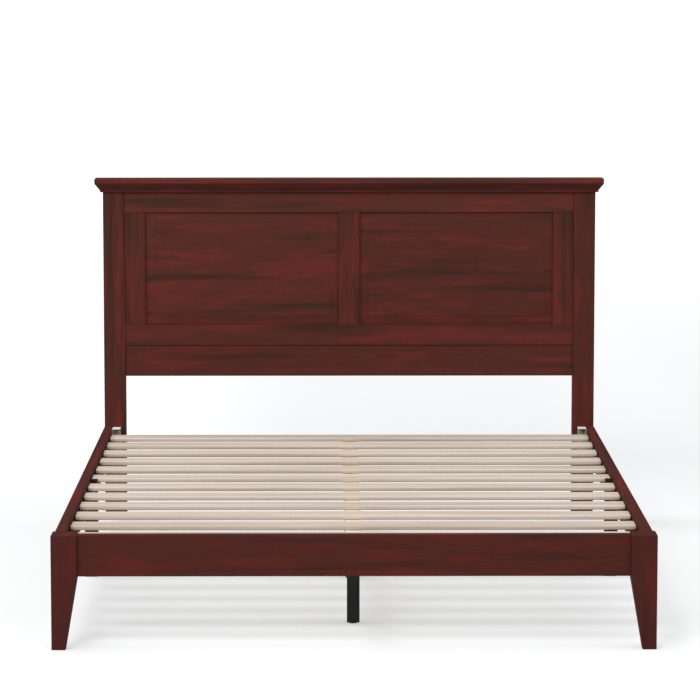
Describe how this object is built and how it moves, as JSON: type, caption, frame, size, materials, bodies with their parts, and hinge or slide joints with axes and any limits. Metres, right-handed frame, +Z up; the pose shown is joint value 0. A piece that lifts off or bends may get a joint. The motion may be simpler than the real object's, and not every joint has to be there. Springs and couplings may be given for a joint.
{
  "type": "platform bed",
  "caption": "Dark stained wooden bed with a tall two-panel headboard, low foot rail, tapered legs and a pale slatted deck on a centre beam",
  "frame": {"origin": "centre of the bounding box in X and Y, on the floor in Z", "axes": "+X to the right seen from the foot of the bed, +Y from the foot to the headboard, +Z up"},
  "size_m": [1.643, 2.135, 1.114],
  "materials": {
    "stained_wood": "satin reddish-brown stain with lengthwise grain",
    "bare_wood": "pale, planed, unfinished",
    "beam_wood": "planed softwood, unfinished",
    "black_steel": "black powder coat",
    "black_plastic": "matte black",
    "zinc_steel": "zinc plated sheet and bolts"
  },
  "bodies": {
    "bed": {"bracket_bolt_foot_left_1": "zinc_steel", "bracket_bolt_foot_right_1": "zinc_steel", "bracket_bolt_head_left_1": "zinc_steel", "bracket_bolt_head_left_2": "zinc_steel", "bracket_bolt_head_right_1": "zinc_steel", "bracket_bolt_head_right_2": "zinc_steel", "cap_moulding_front": "stained_wood", "cap_moulding_left": "stained_wood", "cap_moulding_right": "stained_wood", "centre_beam": "beam_wood", "centre_leg_plate_1": "black_steel", "centre_leg_plate_2": "black_steel", "centre_leg_plate_3": "black_steel", "centre_leg_plug_1": "black_plastic", "centre_leg_plug_2": "black_plastic", "centre_leg_plug_3": "black_plastic", "centre_leg_tube_1": "black_steel", "centre_leg_tube_2": "black_steel", "centre_leg_tube_3": "black_steel", "corner_bracket_foot_left": "zinc_steel", "corner_bracket_foot_right": "zinc_steel", "corner_bracket_head_left": "zinc_steel", "corner_bracket_head_right": "zinc_steel", "foot_leg_left": "stained_wood", "foot_leg_right": "stained_wood", "foot_rail": "stained_wood", "headboard_bottom_rail": "stained_wood", "headboard_cap": "stained_wood", "headboard_centre_stile": "stained_wood", "headboard_lower_board": "stained_wood", "headboard_panel_left": "stained_wood", "headboard_panel_right": "stained_wood", "headboard_post_left": "stained_wood", "headboard_post_right": "stained_wood", "headboard_stile_left": "stained_wood", "headboard_stile_right": "stained_wood", "headboard_top_rail": "stained_wood", "side_leg_left": "stained_wood", "side_leg_right": "stained_wood", "side_rail_left": "stained_wood", "side_rail_right": "stained_wood", "slat_01": "bare_wood", "slat_02": "bare_wood", "slat_03": "bare_wood", "slat_04": "bare_wood", "slat_05": "bare_wood", "slat_06": "bare_wood", "slat_07": "bare_wood", "slat_08": "bare_wood", "slat_09": "bare_wood", "slat_10": "bare_wood", "slat_11": "bare_wood", "slat_12": "bare_wood", "slat_ledger_foot_left": "stained_wood", "slat_ledger_foot_right": "stained_wood", "slat_ledger_head_left": "stained_wood", "slat_ledger_head_right": "stained_wood"},
    "glide_1": {"levelling_glide_1": "black_plastic"},
    "glide_2": {"levelling_glide_2": "black_plastic"},
    "glide_3": {"levelling_glide_3": "black_plastic"}
  },
  "joints": [
    {"name": "glide_height_1", "type": "slide", "parent": "bed", "child": "glide_1", "axis": [0, 0, -1], "range_m": [0, 0.012]},
    {"name": "glide_height_2", "type": "slide", "parent": "bed", "child": "glide_2", "axis": [0, 0, -1], "range_m": [0, 0.012]},
    {"name": "glide_height_3", "type": "slide", "parent": "bed", "child": "glide_3", "axis": [0, 0, -1], "range_m": [0, 0.012]}
  ]
}
